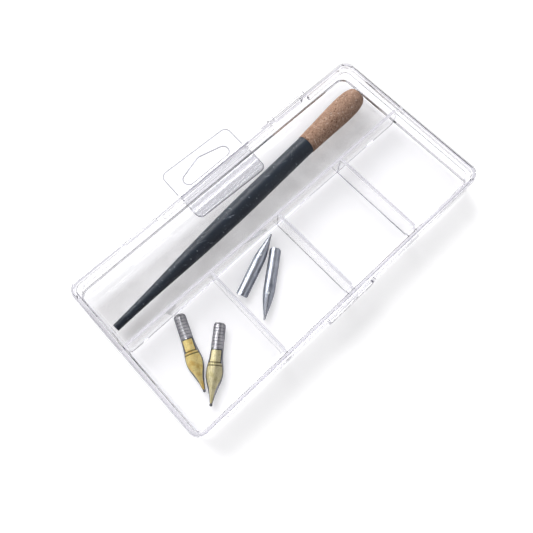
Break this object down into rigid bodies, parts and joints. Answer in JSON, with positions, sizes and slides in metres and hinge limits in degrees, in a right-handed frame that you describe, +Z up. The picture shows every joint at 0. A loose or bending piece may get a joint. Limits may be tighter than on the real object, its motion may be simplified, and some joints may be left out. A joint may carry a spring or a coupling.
{
  "type": "calligraphy set box",
  "caption": "Flat clear plastic box with hinged lid, latch, divided tray and hang tab, holding a cork-grip dip pen holder and loose steel nibs.",
  "frame": {"origin": "centre of the flat underside of the tray", "axes": "+X along the box towards the cork end of the pen holder, +Y towards the hinges and the hang tab, +Z up through the lid"},
  "size_m": [0.178, 0.1139, 0.017],
  "materials": {
    "clear_polystyrene": "clear, polished injection moulding",
    "clear_tab_film": "clear die-cut sheet",
    "tab_adhesive": "clear pressure-sensitive film",
    "painted_wood": "satin paint on turned wood",
    "cork": "sanded cork",
    "tinned_steel": "pressed tinned steel",
    "nib_steel": "tempered blue-grey steel",
    "bright_brass": "bright pressed brass",
    "dull_brass": "dulled pressed brass"
  },
  "bodies": {
    "tray": {"base_tray": "clear_polystyrene", "hang_tab": "clear_tab_film", "hang_tab_adhesive": "tab_adhesive"},
    "lid": {"lid": "clear_polystyrene"},
    "pen_holder": {"holder_barrel": "painted_wood", "holder_cork_grip": "cork", "holder_ferrule": "tinned_steel", "holder_nib_clip": "tinned_steel"},
    "first_reservoir_nib": {"reservoir_nib_1": "nib_steel", "brass_reservoir_1": "bright_brass"},
    "second_reservoir_nib": {"reservoir_nib_2": "nib_steel", "brass_reservoir_2": "dull_brass"},
    "first_pointed_nib": {"pointed_nib_1": "nib_steel"},
    "second_pointed_nib": {"pointed_nib_2": "nib_steel"}
  },
  "joints": [
    {"name": "lid_hinge", "type": "hinge", "parent": "tray", "child": "lid", "pos_m": [0, 0.0451, 0.0137], "axis": [-1, 0, 0], "range_deg": [0, 135]},
    {"name": "pen_holder_shift", "type": "slide", "parent": "tray", "child": "pen_holder", "axis": [0, 1, 0], "range_m": [-0.009, 0.0075]},
    {"name": "first_reservoir_nib_shift", "type": "slide", "parent": "tray", "child": "first_reservoir_nib", "axis": [-1, 0, 0], "range_m": [0, 0.008]},
    {"name": "second_reservoir_nib_shift", "type": "slide", "parent": "tray", "child": "second_reservoir_nib", "axis": [1, 0, 0], "range_m": [0, 0.008]},
    {"name": "first_pointed_nib_shift", "type": "slide", "parent": "tray", "child": "first_pointed_nib", "axis": [-1, 0, 0], "range_m": [0, 0.0012]},
    {"name": "second_pointed_nib_shift", "type": "slide", "parent": "tray", "child": "second_pointed_nib", "axis": [0, -1, 0], "range_m": [0, 0.014]}
  ]
}
